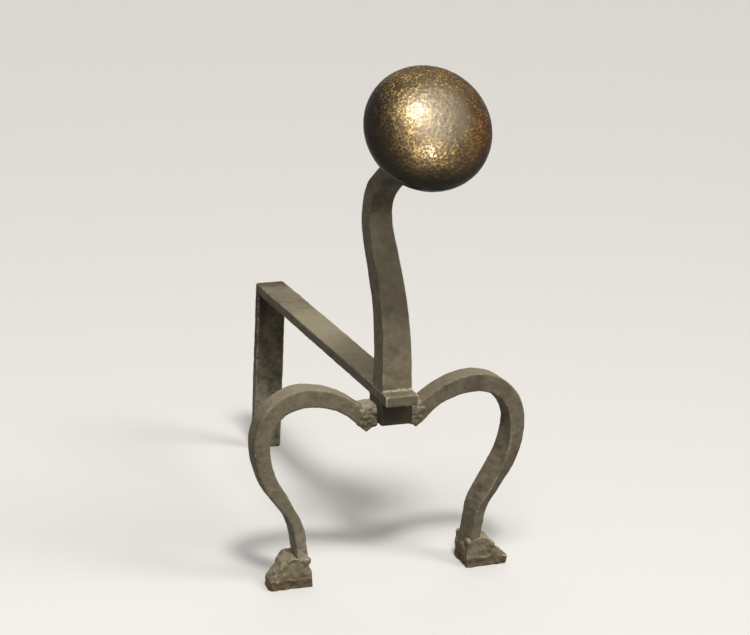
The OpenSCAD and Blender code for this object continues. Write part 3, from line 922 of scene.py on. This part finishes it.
AMBIENT = 0.11
BACKDROP = 0.86
FLOOR_SIZE = 30
FLOOR_BOUNCE = (0.11, 0.108, 0.103, 1)
FLOOR_PAINT = (0.78, 0.77, 0.75, 1)
WARM_WHITE = (1.0, 0.985, 0.96, 1)
SUNLIGHT = (1.0, 0.97, 0.92)
# Each sun: its name, azimuth, elevation, strength, spread in degrees, and if metal reflects it
SUNS = (("front sun", -7, 57, 1.5, 9, True), ("side sun", 48, 42, 1.05, 25, False),
        ("back sun", 165, 38, 0.6, 60, False))
SUN_AWAY = 3
# Each lamp: its name, azimuth, elevation, watts, width, and if it also lights what isn't metal
LAMPS = (("soft box", -16, 60, 12, 0.55, True), ("low soft box", -1, 8, 18, 0.16, False),
         ("pale ceiling", -12, 58, 15, 2.4, False))
LAMP_AWAY = 1.6
LAMP_SHAPE = 0.7

bpy.ops.object.select_all(action="DESELECT")
bpy.ops.mesh.primitive_plane_add(size=FLOOR_SIZE, location=(0, 0, 0))
floor = bpy.context.object
floor.name = "floor"
paint, paint_tree, paint_shader = new_material("floor paint")
paint_shader.inputs["Roughness"].default_value = 0.9
floor.data.materials.append(paint)

world = bpy.data.worlds.new("studio")
world.use_nodes = True
bpy.context.scene.world = world
air = world.node_tree
background = air.nodes["Background"]
background.inputs["Color"].default_value = WARM_WHITE


def seen_directly(tree):
    """1 on rays from the camera and on those that metal reflects, and 0 on the rest."""
    rays = tree.nodes.new("ShaderNodeLightPath")
    seen = rays.outputs["Is Camera Ray"]
    for kind in ("Is Glossy Ray", "Is Transmission Ray"):
        either = tree.nodes.new("ShaderNodeMath")
        either.operation = "MAXIMUM"
        tree.links.new(seen, either.inputs[0])
        tree.links.new(rays.outputs[kind], either.inputs[1])
        seen = either.outputs[0]
    return seen


plug(air, background.inputs["Strength"],
     between(air, seen_directly(air), 0, 1, AMBIENT, BACKDROP))
plug(paint_tree, paint_shader.inputs["Base Color"],
     over(paint_tree, FLOOR_BOUNCE, FLOOR_PAINT, seen_directly(paint_tree)))


def direction(azimuth, elevation):
    """A unit vector towards a place round the andiron. Azimuth 0 is in front, 90 to its right."""
    a, e = math.radians(azimuth), math.radians(elevation)
    return Vector((math.sin(a) * math.cos(e), -math.cos(a) * math.cos(e), math.sin(e)))


def aim(thing, target):
    """Points a lamp or a camera at a place."""
    thing.rotation_euler = (Vector(target) - thing.location).to_track_quat("-Z", "Y").to_euler()


for name, azimuth, elevation, energy, spread, reflected in SUNS:
    sun_data = bpy.data.lights.new(name, "SUN")
    sun_data.energy = energy
    sun_data.angle = math.radians(spread)
    sun_data.color = SUNLIGHT
    sun = bpy.data.objects.new(name, sun_data)
    bpy.context.collection.objects.link(sun)
    sun.location = direction(azimuth, elevation) * SUN_AWAY
    sun.visible_glossy = reflected
    aim(sun, (0, 0, 0))

knob_place = (knob_low + knob_high) / 2
for name, azimuth, elevation, energy, wide, lights_all in LAMPS:
    soft_data = bpy.data.lights.new(name, "AREA")
    soft_data.shape = "RECTANGLE"
    soft_data.size = wide
    soft_data.size_y = wide * LAMP_SHAPE
    soft_data.energy = energy
    soft = bpy.data.objects.new(name, soft_data)
    bpy.context.collection.objects.link(soft)
    soft.location = knob_place + direction(azimuth, elevation) * LAMP_AWAY
    soft.visible_diffuse = lights_all
    aim(soft, knob_place)

# The camera's place was worked out from the photograph. The lens is longer, so that the andiron
# fills the frame.
CAMERA_AT = Vector((-0.6982, -1.9759, 0.8112))
CAMERA_TARGET = Vector((-0.004, -0.0863, 0.215))
CAMERA_ROLL = math.radians(1.0)
FOCAL_PX = 2560
FRAME_PX = 750
SENSOR_MM = 36
camera_data = bpy.data.cameras.new("camera")
camera_data.sensor_width = SENSOR_MM
camera_data.lens = FOCAL_PX / FRAME_PX * SENSOR_MM
camera = bpy.data.objects.new("camera", camera_data)
bpy.context.collection.objects.link(camera)
camera.location = CAMERA_AT
aim(camera, CAMERA_TARGET)
camera.rotation_euler.rotate_axis("Z", CAMERA_ROLL)
bpy.context.scene.camera = camera
bpy.context.scene.view_settings.view_transform = "Standard"
